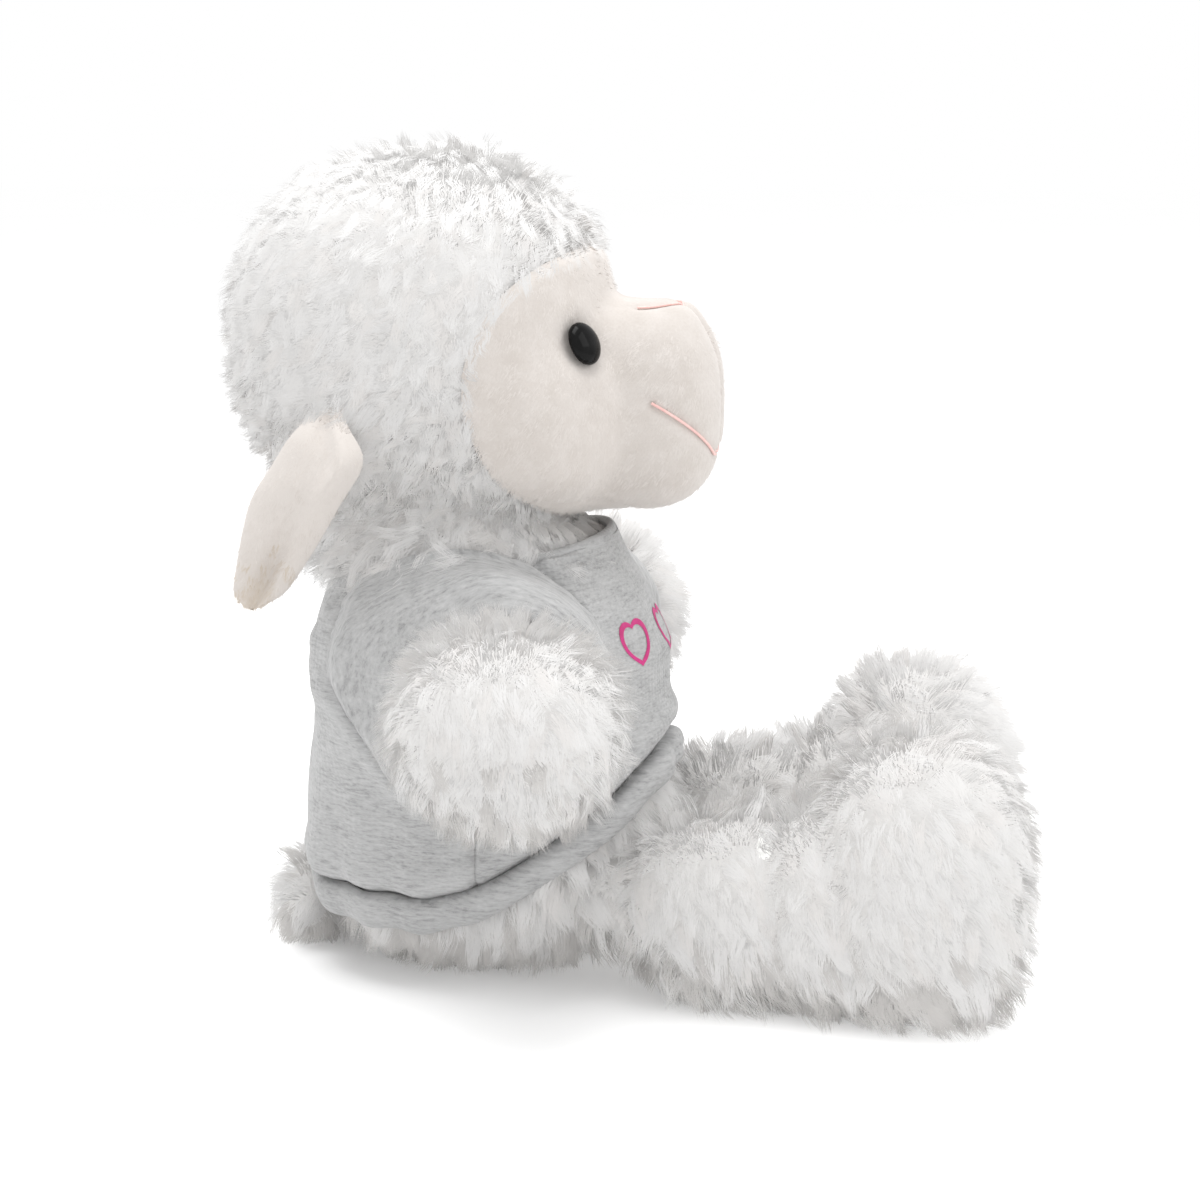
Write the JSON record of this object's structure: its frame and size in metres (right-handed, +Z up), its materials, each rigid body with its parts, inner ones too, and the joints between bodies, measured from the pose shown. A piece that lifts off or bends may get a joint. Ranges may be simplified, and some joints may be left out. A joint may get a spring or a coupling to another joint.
{
  "type": "plush toy sheep",
  "caption": "Seated soft toy sheep with shaggy wool, bare short-pile face and drooping ears, hinged head, arms and legs, in a grey short-sleeved T-shirt.",
  "frame": {"origin": "middle of the flat under the seat, between the hips, on the surface that the toy sits on", "axes": "+Z up; -Y is where the face and the feet point; -X is the sheep's right side"},
  "size_m": [0.1838, 0.1899, 0.1931],
  "materials": {
    "wool": "white shaggy long pile, brushed in tufts",
    "velour": "cream short pile, matt",
    "stuffing": "white polyester fibre filling, loose",
    "pellet_bag": "thin woven bag of plastic pellets",
    "eye_black": "black, polished",
    "washer_white": "white, unpainted",
    "jersey": "heather grey cotton jersey, flecked knit",
    "ribbing": "heather grey cotton jersey, folded and stitched"
  },
  "bodies": {
    "torso": {"torso_cover": "wool", "torso_stuffing": "stuffing", "pellet_bag": "pellet_bag", "tail_cover": "wool", "tail_stuffing": "stuffing", "shirt_front": "jersey", "shirt_back": "jersey", "hem_band": "ribbing", "neck_band": "ribbing"},
    "neck": {"neck_stuffing": "stuffing"},
    "head": {"head_wool": "wool", "face_panel": "velour", "head_stuffing": "stuffing", "eye_right": "eye_black", "eye_left": "eye_black", "eye_washer_right": "washer_white", "eye_washer_left": "washer_white"},
    "ear_right": {"ear_front_right": "velour", "ear_back_right": "velour"},
    "arm_right": {"arm_cover_right": "wool", "arm_stuffing_right": "stuffing", "sleeve_right": "jersey"},
    "leg_right": {"leg_cover_right": "wool", "leg_stuffing_right": "stuffing"},
    "ear_left": {"ear_front_left": "velour", "ear_back_left": "velour"},
    "arm_left": {"arm_cover_left": "wool", "arm_stuffing_left": "stuffing", "sleeve_left": "jersey"},
    "leg_left": {"leg_cover_left": "wool", "leg_stuffing_left": "stuffing"}
  },
  "joints": [
    {"name": "head_turn", "type": "hinge", "parent": "torso", "child": "neck", "pos_m": [0, 0.008, 0.1], "axis": [0, 0, 1], "range_deg": [-25, 25], "stiffness_Nm_per_rad": 0.25},
    {"name": "head_nod", "type": "hinge", "parent": "neck", "child": "head", "pos_m": [0, 0.008, 0.1], "axis": [-1, 0, 0], "range_deg": [-3, 12], "stiffness_Nm_per_rad": 0.3},
    {"name": "ear_flap_right", "type": "hinge", "parent": "head", "child": "ear_right", "pos_m": [-0.04375, 0.03, 0.136], "axis": [0, 1, 0], "range_deg": [-3, 70], "stiffness_Nm_per_rad": 0.01},
    {"name": "arm_raise_right", "type": "hinge", "parent": "torso", "child": "arm_right", "pos_m": [-0.043, -0.001, 0.073], "axis": [0, 1, 0], "range_deg": [-10, 30], "stiffness_Nm_per_rad": 0.1, "deforming": ["sleeve_right"]},
    {"name": "leg_swing_right", "type": "hinge", "parent": "torso", "child": "leg_right", "pos_m": [-0.022, -0.012, 0.0215], "axis": [-1, 0, 0], "range_deg": [-50, 5], "stiffness_Nm_per_rad": 0.1},
    {"name": "ear_flap_left", "type": "hinge", "parent": "head", "child": "ear_left", "pos_m": [0.04375, 0.03, 0.136], "axis": [0, -1, 0], "range_deg": [-3, 70], "stiffness_Nm_per_rad": 0.01},
    {"name": "arm_raise_left", "type": "hinge", "parent": "torso", "child": "arm_left", "pos_m": [0.043, -0.001, 0.073], "axis": [0, -1, 0], "range_deg": [-10, 30], "stiffness_Nm_per_rad": 0.1, "deforming": ["sleeve_left"]},
    {"name": "leg_swing_left", "type": "hinge", "parent": "torso", "child": "leg_left", "pos_m": [0.022, -0.012, 0.0215], "axis": [-1, 0, 0], "range_deg": [-50, 5], "stiffness_Nm_per_rad": 0.1}
  ]
}
